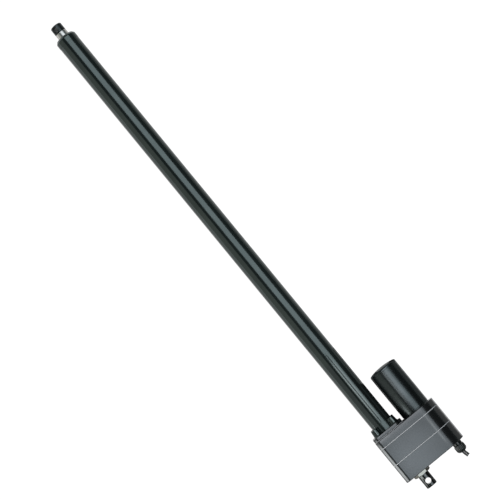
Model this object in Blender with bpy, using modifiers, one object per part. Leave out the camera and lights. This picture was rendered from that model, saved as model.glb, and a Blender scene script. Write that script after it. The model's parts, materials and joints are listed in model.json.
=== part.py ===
"""Electric linear actuator with its motor beside the thrust tube.

Frame: +X is the thrust axis, from the rear adapter to the rod end. The motor lies towards -Y.
+Z is the front of the gear housing. The origin is the centre of the rear adapter's end face.
Sizes are in millimetres, and MM turns them into metres. Along X a piece is given by the
stations where it starts and ends, across X by the (y, z) point of its axis. Stations count
from a datum plane 36 mm behind the gear housing, and the origin is at the station ORIGIN_AT.
"""

import math

import bmesh
import bpy
from mathutils import Matrix, Vector

MM = 0.001
GAP = 0.3
ORIGIN_AT = -3.3

# Gear train: the motor pinion drives the idler gear, whose pinion drives the screw gear.
MODULE = 1.5
PRESSURE_ANGLE = math.radians(20)
ADDENDUM = 0.8 * MODULE
DEDENDUM = 1.05 * MODULE
BACKLASH = 0.3
MOTOR_TEETH, IDLER_GEAR_TEETH, IDLER_PINION_TEETH, SCREW_TEETH = 12, 34, 14, 42

# Axes as (y, z): the idler sits where its two centre distances meet.
SCREW_AXIS = (0.0, 0.0)
MOTOR_AXIS = (-75.5, 0.0)
TO_SCREW = MODULE * (SCREW_TEETH + IDLER_PINION_TEETH) / 2
TO_MOTOR = MODULE * (MOTOR_TEETH + IDLER_GEAR_TEETH) / 2
SPAN = -MOTOR_AXIS[0]
IDLER_ALONG = (TO_SCREW**2 - TO_MOTOR**2 + SPAN**2) / (2 * SPAN)
IDLER_AXIS = (-IDLER_ALONG, math.sqrt(TO_SCREW**2 - IDLER_ALONG**2))
GLAND_AXIS = (-97.4, 0.0)
LEAD_AXIS = (-92.0, -9.0)

# Gear housing: a round end about the motor axis, and a square end with rounded corners.
HOUSING_HALF = 42.0
HOUSING_SIDE = 38.0
CORNER = 10.8
WALL = 4.0
REAR_FACE, REAR_FLOOR = 36.0, 42.0
REAR_SPLIT, FRONT_SPLIT = 80.6, 124.0
GASKET = 1.0
BULKHEAD_START, BULKHEAD_END = REAR_SPLIT + GASKET / 2 + GAP, 93.8
PLATE_START, FRONT_FACE = 131.0, 142.0
CASE_SCREWS = ((29.0, 33.0), (29.0, -33.0), (-94.0, 30.0), (-94.0, -30.0))
COLUMN_RADIUS = 6.0
SCREW_HEAD_RADIUS, SCREW_HEAD_LENGTH = 4.25, 5.0
SCREW_SOCKET_RADIUS, SCREW_SHANK_RADIUS = 2.1, 2.4
SCREW_HOLE_RADIUS, COUNTERBORE_RADIUS = 2.7, 4.6

# Tube flange, with a boss for each of its four screws.
FLANGE_START, FLANGE_END, BOSS_TOP = 143.5, 150.5, 166.8
FLANGE_HALF = 37.5
BOSS_AT, BOSS_SCREW_AT = 21.5, 21.9

# Thrust tube, rod and screw.
TUBE_RADIUS, TUBE_BORE, TUBE_END = 24.0, 21.0, 1228.0
CAP_RADIUS, CAP_SHOULDER, NOSE_END = 24.4, 1239.4, 1245.6
CAP_START, SPIGOT_RADIUS, NOSE_FACE_RADIUS = 1223.0, 20.7, 20.0
SEAL_POCKET_RADIUS, SEAL_POCKET_DEPTH = 17.3, 7.0
ROD_RADIUS, ROD_BORE, ROD_END = 13.3, 11.0, 1258.4
NUT_START, NUT_END, NUT_RADIUS = 172.0, 212.0, 17.0
SCREW_START, SCREW_RADIUS, SCREW_END = 60.5, 10.0, 1195.0

# Adapters: round bars with a cross hole for a pin. The rod turns freely in the tube until it is
# pinned, and at rest its hole leans by FRONT_HOLE_LEAN from Z towards +Y.
PIN_HOLE_RADIUS = 6.4
ADAPTER_CHAMFER = 1.6
REAR_ADAPTER_RADIUS, REAR_ADAPTER_END, REAR_HOLE_AT = 12.7, 27.6, 11.0
FRONT_ADAPTER_END, FRONT_HOLE_AT = 1277.7, 1267.4
FRONT_HOLE_LEAN = math.radians(30)
STUD_RADIUS, STUD_END = 9.0, 56.0
JAM_NUT_ACROSS_FLATS, ADAPTER_NUT_ACROSS_FLATS = 34.8, 28.0

# Cable gland: the nut's domed end, the cable and the bores that it passes.
GLAND_NUT_START, GLAND_NUT_END = 11.0, 27.8
GLAND_NECK_RADIUS, GLAND_NUT_RADIUS = 10.3, 11.8
GLAND_THREAD_RADIUS, GLAND_BARREL_RADIUS, GLAND_BORE = 8.0, 8.4, 4.8
SHEATH_RADIUS, CORE_RADIUS, CORE_AT = 4.3, 1.85, 2.45

# Motor.
CAN_RADIUS, CAN_BORE, CAN_START, CAN_END = 33.0, 30.0, FRONT_FACE + GAP, 251.0
CAP_TOP, DOME_RADIUS = 260.5, 125.0
SHAFT_RADIUS = 4.0

# The local axes of each piece run along world Y, Z and X, so that its local Z is the thrust axis.
ALONG_X = Matrix(((0, 0, 1), (1, 0, 0), (0, 1, 0))).to_4x4()

for old in list(bpy.data.objects):
    bpy.data.objects.remove(old, do_unlink=True)

parts = bpy.data.collections.new("linear_actuator")
cutters = bpy.data.collections.new("cutters")
for collection in (parts, cutters):
    bpy.context.scene.collection.children.link(collection)


# ---------------------------------------------------------------- materials


def finish(name, color, metallic, roughness):
    material = bpy.data.materials.new(name)
    material.use_nodes = True
    shader = material.node_tree.nodes["Principled BSDF"]
    shader.inputs["Base Color"].default_value = (*color, 1)
    shader.inputs["Metallic"].default_value = metallic
    shader.inputs["Roughness"].default_value = roughness
    return material


ANODISED = finish("dark_anodised_aluminium", (0.035, 0.038, 0.04), 0.8, 0.22)
HOUSING_GREY = finish("grey_cast_housing", (0.13, 0.14, 0.145), 0.5, 0.3)
BLACK_STEEL = finish("blackened_steel", (0.02, 0.02, 0.022), 0.7, 0.35)
BRIGHT_STEEL = finish("bright_steel", (0.75, 0.76, 0.78), 1.0, 0.18)
SCREW_STEEL = finish("zinc_plated_steel", (0.6, 0.6, 0.6), 1.0, 0.3)
BRONZE = finish("bronze", (0.55, 0.36, 0.14), 1.0, 0.35)
COPPER = finish("enamelled_copper", (0.6, 0.23, 0.08), 0.9, 0.35)
LAMINATION = finish("electrical_steel", (0.3, 0.3, 0.31), 0.9, 0.45)
MAGNET = finish("ferrite_magnet", (0.06, 0.06, 0.065), 0.1, 0.6)
CARBON = finish("carbon_brush", (0.03, 0.03, 0.03), 0.2, 0.6)
NYLON = finish("black_nylon", (0.02, 0.021, 0.022), 0.0, 0.4)
ACETAL = finish("white_acetal", (0.8, 0.8, 0.76), 0.0, 0.4)
SEAL = finish("seal_rubber", (0.02, 0.02, 0.02), 0.0, 0.75)
GASKET_SHEET = finish("gasket_sheet", (0.62, 0.64, 0.65), 0.0, 0.6)
CABLE_JACKET = finish("cable_jacket", (0.02, 0.02, 0.02), 0.0, 0.45)
BOARD = finish("circuit_board", (0.02, 0.15, 0.06), 0.0, 0.4)


# ---------------------------------------------------------------- modelling helpers


def point_at(station, y, z):
    """A point in metres from the frame's origin."""
    return Vector((station - ORIGIN_AT, y, z)) * MM


def place(name, mesh, material, start, axis, basis=ALONG_X):
    """Puts a mesh in the scene with its local origin at station start on the given axis."""
    made = bpy.data.objects.new(name, mesh)
    made.matrix_world = Matrix.Translation(point_at(start, *axis)) @ basis
    mesh.materials.append(material)
    parts.objects.link(made)
    return made


def turned(name, material, outline, axis=SCREW_AXIS, segments=24, ring=True):
    """Turns an outline of (station, radius) points about an axis.

    The outline runs down the outer side from the highest station to the lowest. A ring's
    outline then comes back up its bore, and a solid's starts and ends on the axis.
    """
    start = min(station for station, _ in outline)
    mesh = bpy.data.meshes.new(name)
    points = [(radius * MM, 0, (station - start) * MM) for station, radius in outline]
    edges = [(i, i + 1) for i in range(len(points) - 1)]
    if ring:
        edges.append((len(points) - 1, 0))
    mesh.from_pydata(points, edges, [])
    made = place(name, mesh, material, start, axis)
    screw = made.modifiers.new("turn", "SCREW")
    screw.steps = screw.render_steps = segments
    screw.use_merge_vertices = True
    screw.merge_threshold = 0.00001
    screw.use_smooth_shade = True
    return made


def ring(name, material, start, end, bore, radius, axis=SCREW_AXIS, segments=24, chamfer=0.0):
    """A tube or ring, with an optional chamfer on both outer edges."""
    outline = [(end, radius), (start, radius)]
    if chamfer:
        outline = [(end, radius - chamfer), (end - chamfer, radius)]
        outline += [(start + chamfer, radius), (start, radius - chamfer)]
    outline += [(start, bore), (end, bore)]
    return turned(name, material, outline, axis, segments)


def shaft(name, material, steps, axis=SCREW_AXIS, segments=20):
    """A stepped solid shaft. Each step is (from station, to station, radius), lowest first."""
    outline = []
    for low, high, radius in steps:
        outline += [(low, radius), (high, radius)]
    outline = [(steps[0][0], 0.0)] + outline + [(steps[-1][1], 0.0)]
    return turned(name, material, outline[::-1], axis, segments, ring=False)


def rod_mesh(name, length, radius, segments, top=None):
    """A cylinder, or a cone with another radius at its top, standing on its local origin."""
    mesh = bpy.data.meshes.new(name)
    solid = bmesh.new()
    bmesh.ops.create_cone(
        solid,
        cap_ends=True,
        segments=segments,
        radius1=radius * MM,
        radius2=(radius if top is None else top) * MM,
        depth=length * MM,
        matrix=Matrix.Translation((0, 0, length * MM / 2)),
    )
    solid.to_mesh(mesh)
    solid.free()
    mesh.shade_smooth()
    mesh.set_sharp_from_angle(angle=math.radians(40))
    return mesh


def prism(name, material, loops, start, end):
    """Extrudes closed (y, z) loops along X. The loops inside the first one are holes."""
    curve = bpy.data.curves.new(name, "CURVE")
    curve.dimensions = "2D"
    curve.fill_mode = "BOTH"
    curve.extrude = (end - start) * MM / 2
    for loop in loops:
        spline = curve.splines.new("POLY")
        spline.points.add(len(loop) - 1)
        for point, (y, z) in zip(spline.points, loop):
            point.co = (y * MM, z * MM, 0, 1)
        spline.use_cyclic_u = True
    middle = point_at((start + end) / 2, 0, 0)
    return welded(name, curve, material, Matrix.Translation(middle) @ ALONG_X)


def welded(name, curve, material, matrix):
    """Makes a closed mesh of a curve, whose caps come loose."""
    guide = bpy.data.objects.new(name + "_guide", curve)
    cutters.objects.link(guide)
    graph = bpy.context.evaluated_depsgraph_get()
    mesh = bpy.data.meshes.new_from_object(guide.evaluated_get(graph))
    bpy.data.objects.remove(guide)
    solid = bmesh.new()
    solid.from_mesh(mesh)
    bmesh.ops.remove_doubles(solid, verts=solid.verts, dist=0.000001)
    bmesh.ops.recalc_face_normals(solid, faces=solid.faces)
    solid.to_mesh(mesh)
    solid.free()
    mesh.materials.clear()
    mesh.materials.append(material)
    made = bpy.data.objects.new(name, mesh)
    made.matrix_world = matrix
    parts.objects.link(made)
    return made


def block(name, material, low, high):
    """A box between two corners (station, y, z)."""
    low, high = point_at(*low), point_at(*high)
    mesh = bpy.data.meshes.new(name)
    solid = bmesh.new()
    bmesh.ops.create_cube(solid, size=1, matrix=Matrix.Diagonal((*(high - low), 1)))
    solid.to_mesh(mesh)
    solid.free()
    mesh.materials.append(material)
    made = bpy.data.objects.new(name, mesh)
    made.location = (low + high) / 2
    parts.objects.link(made)
    return made


def wire(name, material, route, radius):
    """A round wire through (station, y, z) points."""
    curve = bpy.data.curves.new(name, "CURVE")
    curve.dimensions = "3D"
    curve.bevel_depth = radius * MM
    curve.bevel_resolution = 2
    curve.use_fill_caps = True
    spline = curve.splines.new("POLY")
    spline.points.add(len(route) - 1)
    for point, place_at in zip(spline.points, route):
        point.co = (*point_at(*place_at), 1)
    return welded(name, curve, material, Matrix.Identity(4))


def change(target, tool, operation):
    """Cuts a tool from the target, or joins it on, and puts the tool away with the cutters."""
    for collection in list(tool.users_collection):
        collection.objects.unlink(tool)
    cutters.objects.link(tool)
    tool.hide_render = True
    tool.display_type = "WIRE"
    modifier = target.modifiers.new(tool.name, "BOOLEAN")
    modifier.operation = operation
    modifier.object = tool
    modifier.solver = "EXACT"


def drill(target, start, end, radius, axis, segments=12):
    """Cuts a round hole along X."""
    name = f"{target.name}_drill_{len(target.modifiers)}"
    mesh = rod_mesh(name, end - start, radius, segments)
    change(target, place(name, mesh, HOUSING_GREY, start, axis), "DIFFERENCE")


def join_column(target, start, end, radius, axis, segments=12, top=None):
    """Joins a round column that stands along X."""
    name = f"{target.name}_column_{len(target.modifiers)}"
    mesh = rod_mesh(name, end - start, radius, segments, top)
    change(target, place(name, mesh, HOUSING_GREY, start, axis), "UNION")


def arc(centre, radius, start, end, steps):
    """Points on an arc in the (y, z) plane, with both ends."""
    angles = [math.radians(start + (end - start) * i / steps) for i in range(steps + 1)]
    return [(centre[0] + radius * math.cos(a), centre[1] + radius * math.sin(a)) for a in angles]


def circle(centre, radius, steps):
    return arc(centre, radius, 0, 360, steps)[:-1]


def hexagon(centre, across_flats):
    return circle(centre, across_flats / math.sqrt(3), 6)


def housing_outline(inset):
    """The housing's outline, drawn in from its outside by inset."""
    half = HOUSING_HALF - inset
    corner_at = (HOUSING_SIDE - CORNER, HOUSING_HALF - CORNER)
    points = arc(MOTOR_AXIS, half, 90, 270, 20)
    points += arc((corner_at[0], -corner_at[1]), CORNER - inset, 270, 360, 4)
    points += arc(corner_at, CORNER - inset, 0, 90, 4)
    return points


def tooth_half_angle(radius, teeth):
    """Half of the angle that an involute tooth fills at a radius."""
    pitch = MODULE * teeth / 2
    base = pitch * math.cos(PRESSURE_ANGLE)
    at = math.acos(min(1.0, base / radius))
    at_pitch = math.pi / (2 * teeth) - BACKLASH / 4 / pitch
    return at_pitch + math.tan(PRESSURE_ANGLE) - PRESSURE_ANGLE - (math.tan(at) - at)


def gear_outline(centre, teeth, first_tooth):
    """The outline of a spur gear that has a tooth at the angle first_tooth."""
    pitch = MODULE * teeth / 2
    root, tip = pitch - DEDENDUM, pitch + ADDENDUM
    flank = [root + (tip - root) * i / 2 for i in range(3)]
    sides = [(r, -tooth_half_angle(r, teeth)) for r in flank]
    sides += [(r, -angle) for r, angle in reversed(sides)]
    points = []
    for tooth in range(teeth):
        middle = first_tooth + 2 * math.pi * tooth / teeth
        for r, angle in sides:
            at = middle + angle
            points.append((centre[0] + r * math.cos(at), centre[1] + r * math.sin(at)))
    return points


def socket_screws(name, heads_at, head_side, tip, centres):
    """Socket head screws along X. head_side is the side that the heads lie on, -1 or +1."""
    far = heads_at + head_side * SCREW_HEAD_LENGTH
    socket = far - head_side * SCREW_HEAD_LENGTH / 2
    outline = [(socket, 0.0), (socket, SCREW_SOCKET_RADIUS), (far, SCREW_SOCKET_RADIUS)]
    outline += [(far, SCREW_HEAD_RADIUS), (heads_at, SCREW_HEAD_RADIUS)]
    outline += [(heads_at, SCREW_SHANK_RADIUS), (tip, SCREW_SHANK_RADIUS), (tip, 0.0)]
    if head_side < 0:
        outline = outline[::-1]
    for number, centre in enumerate(centres, 1):
        turned(f"{name}_{number}", SCREW_STEEL, outline, centre, 10, ring=False)


# ---------------------------------------------------------------- gear housing


def build_rear_cover():
    """A deep cover whose floor carries the rear adapter and the cable gland."""
    end = REAR_SPLIT - GASKET / 2 - GAP
    cover = prism("rear_cover", HOUSING_GREY, [housing_outline(0)], REAR_FACE, end)
    hollow = prism("rear_cover_hollow", HOUSING_GREY, [housing_outline(WALL)], REAR_FLOOR, end + 5)
    change(cover, hollow, "DIFFERENCE")
    for centre in CASE_SCREWS:
        join_column(cover, REAR_FLOOR - 2, end - GAP, COLUMN_RADIUS, centre)
        drill(cover, REAR_FACE - 5, REAR_FLOOR, COUNTERBORE_RADIUS, centre)
        drill(cover, REAR_FACE, end + 5, SCREW_HOLE_RADIUS, centre, 10)
    drill(cover, REAR_FACE - 5, REAR_FLOOR + 5, STUD_RADIUS + GAP, SCREW_AXIS, 24)
    drill(cover, REAR_FACE - 5, REAR_FLOOR + 5, GLAND_THREAD_RADIUS + GAP, GLAND_AXIS, 24)


def build_gasket(name, station):
    loops = [housing_outline(0), housing_outline(WALL)]
    gasket = prism(name, GASKET_SHEET, loops, station - GASKET / 2, station + GASKET / 2)
    for centre in CASE_SCREWS:
        drill(gasket, station - 5, station + 5, COLUMN_RADIUS + GAP, centre)


def build_gear_case():
    """The middle of the housing. Its bulkhead carries the rear bearing and the idler axle."""
    end = FRONT_SPLIT - GASKET / 2 - GAP
    case = prism("gear_case", HOUSING_GREY, [housing_outline(0)], BULKHEAD_START, end)
    hollow = prism("gear_case_hollow", HOUSING_GREY, [housing_outline(WALL)], BULKHEAD_END, end + 5)
    change(case, hollow, "DIFFERENCE")
    for centre in CASE_SCREWS:
        join_column(case, BULKHEAD_END - 2, end - GAP, COLUMN_RADIUS, centre)
        drill(case, BULKHEAD_START - 5, end + 5, SCREW_HOLE_RADIUS, centre, 10)
    drill(case, 84.0, BULKHEAD_END + 1, 16.3, SCREW_AXIS, 16)
    drill(case, BULKHEAD_START - 5, 85.0, 9.2, SCREW_AXIS)
    drill(case, BULKHEAD_END - 9, BULKHEAD_END + 1, SHAFT_RADIUS + GAP, IDLER_AXIS, 16)
    drill(case, BULKHEAD_START - 5, BULKHEAD_END + 5, 5.0, LEAD_AXIS, 16)


def build_front_cover():
    """The front plate, with a rim round its pocket and seats for the two front bearings."""
    start = FRONT_SPLIT + GASKET / 2 + GAP
    cover = prism("front_cover", HOUSING_GREY, [housing_outline(0)], start, FRONT_FACE)
    hollow = prism("front_cover_hollow", HOUSING_GREY, [housing_outline(WALL)], start - 5, PLATE_START)
    change(cover, hollow, "DIFFERENCE")
    join_column(cover, 127.0, PLATE_START + 2, 24.0, SCREW_AXIS, 16)
    join_column(cover, 127.0, PLATE_START + 2, 15.0, MOTOR_AXIS, 16)
    for centre in CASE_SCREWS:
        join_column(cover, start + GAP, PLATE_START + 2, COLUMN_RADIUS, centre)
        drill(cover, start - 5, 139.0, SCREW_HOLE_RADIUS, centre, 10)
    drill(cover, start - 5, 140.3, 20.3, SCREW_AXIS, 16)
    drill(cover, 139.0, FRONT_FACE + 5, 12.0, SCREW_AXIS, 16)
    drill(cover, start - 5, 139.3, 11.3, MOTOR_AXIS, 16)
    drill(cover, 138.0, FRONT_FACE + 5, 6.0, MOTOR_AXIS, 16)
    drill(cover, start - 5, 137.5, SHAFT_RADIUS + GAP, IDLER_AXIS, 16)
    drill(cover, start - 5, FRONT_FACE + 5, 5.0, LEAD_AXIS, 16)
    for centre in boss_screw_centres():
        drill(cover, 132.0, FRONT_FACE + 5, SCREW_HOLE_RADIUS, centre, 10)


def boss_screw_centres():
    return [(y, z) for y in (-BOSS_SCREW_AT, BOSS_SCREW_AT) for z in (-BOSS_SCREW_AT, BOSS_SCREW_AT)]


def flange_outline():
    """A square plate, chamfered towards the motor and rounded like the housing away from it."""
    chamfer, half = 14.0, FLANGE_HALF
    corner_at = half - CORNER
    points = [(chamfer - half, half), (-half, half - chamfer)]
    points += [(-half, chamfer - half), (chamfer - half, -half)]
    points += arc((corner_at, -corner_at), CORNER, 270, 360, 4)
    points += arc((corner_at, corner_at), CORNER, 0, 90, 4)
    return points


def build_tube_flange():
    bore = circle(SCREW_AXIS, TUBE_RADIUS + GAP, 32)
    flange = prism("tube_flange", ANODISED, [flange_outline()], FLANGE_START, FLANGE_END)
    for y in (-BOSS_AT, BOSS_AT):
        for z in (-BOSS_AT, BOSS_AT):
            join_column(flange, FLANGE_END - 3, BOSS_TOP, 9.8, (y, z), 16, top=8.0)
    tube_way = prism("tube_flange_bore", ANODISED, [bore], FLANGE_START - 5, BOSS_TOP + 5)
    change(flange, tube_way, "DIFFERENCE")
    for centre in boss_screw_centres():
        drill(flange, BOSS_TOP - 6.5, BOSS_TOP + 5, COUNTERBORE_RADIUS, centre)
        drill(flange, FLANGE_START - 5, BOSS_TOP, SCREW_HOLE_RADIUS, centre, 10)
    gasket_loops = [flange_outline(), circle(SCREW_AXIS, 14.0, 24)]
    gasket_loops += [circle(centre, 2.9, 10) for centre in boss_screw_centres()]
    prism("flange_gasket", GASKET_SHEET, gasket_loops, FRONT_FACE + GAP, FLANGE_START - GAP)
    socket_screws("flange_screw", BOSS_TOP - 6.2, 1, 132.5, boss_screw_centres())


def build_housing():
    build_rear_cover()
    build_gasket("rear_gasket", REAR_SPLIT)
    build_gear_case()
    build_gasket("front_gasket", FRONT_SPLIT)
    build_front_cover()
    build_tube_flange()
    socket_screws("case_screw", REAR_FLOOR - GAP, -1, 138.0, CASE_SCREWS)


def cross_hole(target, station, lean, reach=20.0):
    """Cuts a pin hole across a bar on the thrust axis, leaning from Z towards +Y."""
    name = f"{target.name}_pin_hole"
    mesh = rod_mesh(name, 2 * reach, PIN_HOLE_RADIUS, 20)
    mesh.transform(Matrix.Translation((0, 0, -reach * MM)))
    turn = Matrix.Rotation(-lean, 4, "X")
    change(target, place(name, mesh, BLACK_STEEL, station, SCREW_AXIS, turn), "DIFFERENCE")


def build_rear_adapter():
    """A round bar with a threaded stud, held by a nut on each side of the rear cover's floor."""
    outline = [
        (STUD_END, 0.0),
        (STUD_END, STUD_RADIUS),
        (REAR_ADAPTER_END, STUD_RADIUS),
        (REAR_ADAPTER_END, REAR_ADAPTER_RADIUS),
        (ORIGIN_AT + ADAPTER_CHAMFER, REAR_ADAPTER_RADIUS),
        (ORIGIN_AT, REAR_ADAPTER_RADIUS - ADAPTER_CHAMFER),
        (ORIGIN_AT, 0.0),
    ]
    adapter = turned("rear_adapter", BLACK_STEEL, outline, ring=False)
    cross_hole(adapter, REAR_HOLE_AT, 0.0)
    stud_way = circle(SCREW_AXIS, STUD_RADIUS + GAP, 24)
    jam_nut_loops = [hexagon(SCREW_AXIS, JAM_NUT_ACROSS_FLATS), stud_way]
    prism("rear_jam_nut", SCREW_STEEL, jam_nut_loops, REAR_ADAPTER_END + GAP, REAR_FACE - GAP)
    nut_loops = [hexagon(SCREW_AXIS, ADAPTER_NUT_ACROSS_FLATS), stud_way]
    prism("adapter_nut", SCREW_STEEL, nut_loops, REAR_FLOOR + GAP, REAR_FLOOR + 8.5)


# ---------------------------------------------------------------- thrust tube and rod


def build_tube():
    ring("cover_tube", ANODISED, FLANGE_START + GAP, TUBE_END, TUBE_BORE, TUBE_RADIUS, segments=32)
    pocket = NOSE_END - SEAL_POCKET_DEPTH
    cap_bore = ROD_RADIUS + 2 * GAP
    cap = [(NOSE_END, SEAL_POCKET_RADIUS), (NOSE_END, NOSE_FACE_RADIUS)]
    cap += [(CAP_SHOULDER + 1.2, CAP_RADIUS - 0.5), (CAP_SHOULDER, CAP_RADIUS)]
    cap += [(TUBE_END + GAP, CAP_RADIUS), (TUBE_END + GAP, SPIGOT_RADIUS), (CAP_START, SPIGOT_RADIUS)]
    cap += [(CAP_START, cap_bore), (pocket, cap_bore), (pocket, SEAL_POCKET_RADIUS)]
    turned("tube_end_cap", ANODISED, cap, segments=32)
    seal_radius = SEAL_POCKET_RADIUS - GAP
    ring("wiper_seal", SEAL, pocket + GAP, NOSE_END - GAP, ROD_RADIUS + GAP, seal_radius)
    bush_end = CAP_START - 0.5
    ring("guide_bush", BRONZE, bush_end - 27.5, bush_end, ROD_RADIUS + GAP, SPIGOT_RADIUS, chamfer=0.6)


def build_rod():
    rod_start = NUT_END - 16
    nut_bore = SCREW_RADIUS + GAP
    ring("extension_tube", BRIGHT_STEEL, rod_start, ROD_END, ROD_BORE, ROD_RADIUS, segments=32)
    nut = [(NUT_END, NUT_RADIUS), (NUT_START, NUT_RADIUS), (NUT_START, nut_bore)]
    nut += [(rod_start - GAP, nut_bore), (rod_start - GAP, ROD_RADIUS + GAP), (NUT_END, ROD_RADIUS + GAP)]
    turned("ball_nut", SCREW_STEEL, nut, segments=24)
    guide = NUT_START + 6, NUT_END - 6, NUT_RADIUS + GAP, SPIGOT_RADIUS
    ring("nut_guide", ACETAL, *guide, segments=24, chamfer=0.6)
    start, plug_end = ROD_END + GAP, ROD_END - 30
    outline = [
        (FRONT_ADAPTER_END, 0.0),
        (FRONT_ADAPTER_END, ROD_RADIUS - ADAPTER_CHAMFER),
        (FRONT_ADAPTER_END - ADAPTER_CHAMFER, ROD_RADIUS),
        (start, ROD_RADIUS),
        (start, ROD_BORE - GAP),
        (plug_end, ROD_BORE - GAP),
        (plug_end, 0.0),
    ]
    adapter = turned("front_adapter", BLACK_STEEL, outline, ring=False)
    cross_hole(adapter, FRONT_HOLE_AT, FRONT_HOLE_LEAN)


# ---------------------------------------------------------------- screw train


def build_bearing(name, start, end, bore, inner, outer, radius):
    """The inner and outer races of a ball bearing."""
    ring(f"{name}_bearing_inner", BRIGHT_STEEL, start, end, bore, inner, segments=16)
    ring(f"{name}_bearing_outer", BRIGHT_STEEL, start, end, outer, radius, segments=16)


def build_screw():
    steps = [(SCREW_START, 94.0, 6.0), (94.0, 140.6, 8.5), (140.6, SCREW_END, SCREW_RADIUS)]
    steps.append((SCREW_END, SCREW_END + 12, 6.0))
    shaft("ball_screw", SCREW_STEEL, steps)
    ring("screw_end_bush", ACETAL, SCREW_END + GAP, SCREW_END + 11.7, 6.3, ROD_BORE - GAP, segments=24)
    build_bearing("rear", 84.3, 93.6, 6.3, 9.0, 13.2, 16.0)
    build_bearing("front", 128.3, 140.0, 8.8, 12.4, 16.8, 20.0)
    ring("screw_lock_nut", SCREW_STEEL, 76.0, 84.0, 6.3, 8.8, segments=12)
    to_idler = math.atan2(IDLER_AXIS[1] - SCREW_AXIS[1], IDLER_AXIS[0] - SCREW_AXIS[0])
    gear = gear_outline(SCREW_AXIS, SCREW_TEETH, to_idler)
    wheel = prism("screw_gear", SCREW_STEEL, [gear], 98.0, 110.0)
    join_column(wheel, 105.0, 128.0, 12.0, SCREW_AXIS, 24)
    drill(wheel, 90.0, 135.0, 8.8, SCREW_AXIS, 24)
    ring("brake_disc", BLACK_STEEL, 62.0, 66.0, 6.3, 22.0, segments=16)
    ring("brake_housing", BLACK_STEEL, 66.5, BULKHEAD_START - GAP, 10.0, 25.0, segments=16, chamfer=0.8)


def build_idler():
    to_motor = math.atan2(MOTOR_AXIS[1] - IDLER_AXIS[1], MOTOR_AXIS[0] - IDLER_AXIS[0])
    to_screw = math.atan2(SCREW_AXIS[1] - IDLER_AXIS[1], SCREW_AXIS[0] - IDLER_AXIS[0])
    gear = gear_outline(IDLER_AXIS, IDLER_GEAR_TEETH, to_motor)
    prism("idler_gear", SCREW_STEEL, [gear, circle(IDLER_AXIS, 7.8, 24)], 113.5, 123.5)
    gap_at_screw = to_screw + math.pi / IDLER_PINION_TEETH
    teeth = gear_outline(IDLER_AXIS, IDLER_PINION_TEETH, gap_at_screw)
    pinion = prism("idler_pinion", SCREW_STEEL, [teeth], 97.5, 111.0)
    join_column(pinion, 108.0, 124.5, 7.5, IDLER_AXIS, 24)
    drill(pinion, 90.0, 130.0, SHAFT_RADIUS + GAP, IDLER_AXIS, 16)
    shaft("idler_axle", BRIGHT_STEEL, [(85.5, 137.0, SHAFT_RADIUS)], IDLER_AXIS, 16)


# ---------------------------------------------------------------- motor


def build_motor_case():
    """The can and its domed end cap, which holds the rear bearing."""
    ring("motor_can", ANODISED, CAN_START, CAN_END, CAN_BORE, CAN_RADIUS, MOTOR_AXIS, 32)
    start = CAN_END + GAP
    outer = [(CAP_TOP, 0.0)]
    for radius in (10.0, 20.0, 30.0):
        outer.append((CAP_TOP - DOME_RADIUS + math.sqrt(DOME_RADIUS**2 - radius**2), radius))
    outer += [(start + 2.2, CAN_RADIUS - 0.9), (start + 0.8, CAN_RADIUS)]
    outer += [(start, CAN_RADIUS), (start, CAN_BORE - GAP), (246.0, CAN_BORE - GAP)]
    outer += [(246.0, 11.3), (255.0, 11.3), (255.0, 0.0)]
    turned("motor_end_cap", ANODISED, outer, MOTOR_AXIS, 32, ring=False)


def build_magnets():
    """Two arc magnets on the inside of the can."""
    for side, middle in (("upper", 90), ("lower", 270)):
        outer = arc(MOTOR_AXIS, CAN_BORE - GAP, middle - 68, middle + 68, 12)
        inner = arc(MOTOR_AXIS, 19.8, middle + 68, middle - 68, 12)
        prism(f"{side}_magnet", MAGNET, [outer + inner], 172.0, 238.0)


def build_motor():
    build_motor_case()
    build_magnets()
    for name, start in (("motor_front_bearing", 132.0), ("motor_rear_bearing", 247.5)):
        ring(name, BRIGHT_STEEL, start, start + 7, SHAFT_RADIUS + GAP, 11.0, MOTOR_AXIS, 16)
    shaft("motor_shaft", BRIGHT_STEEL, [(112.5, 254.6, SHAFT_RADIUS)], MOTOR_AXIS, 16)
    to_idler = math.atan2(IDLER_AXIS[1] - MOTOR_AXIS[1], IDLER_AXIS[0] - MOTOR_AXIS[0])
    gap_at_idler = to_idler + math.pi / MOTOR_TEETH
    pinion_loops = [gear_outline(MOTOR_AXIS, MOTOR_TEETH, gap_at_idler)]
    pinion_loops.append(circle(MOTOR_AXIS, SHAFT_RADIUS + GAP, 16))
    prism("motor_pinion", SCREW_STEEL, pinion_loops, 113.0, 124.2)
    ring("armature_core", LAMINATION, 178.0, 232.0, 8.3, 19.2, MOTOR_AXIS, 16)
    spool = [(243.5, 14.0), (240.5, 17.0), (232.3, 17.0), (232.3, 8.0), (177.7, 8.0)]
    spool += [(177.7, 17.0), (169.0, 17.0), (166.0, 14.0)]
    spool += [(166.0, SHAFT_RADIUS + GAP), (243.5, SHAFT_RADIUS + GAP)]
    turned("armature_windings", COPPER, spool, MOTOR_AXIS, 16)
    ring("commutator", COPPER, 150.0, 164.0, SHAFT_RADIUS + GAP, 9.0, MOTOR_AXIS, 16)
    build_brushes()


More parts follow.
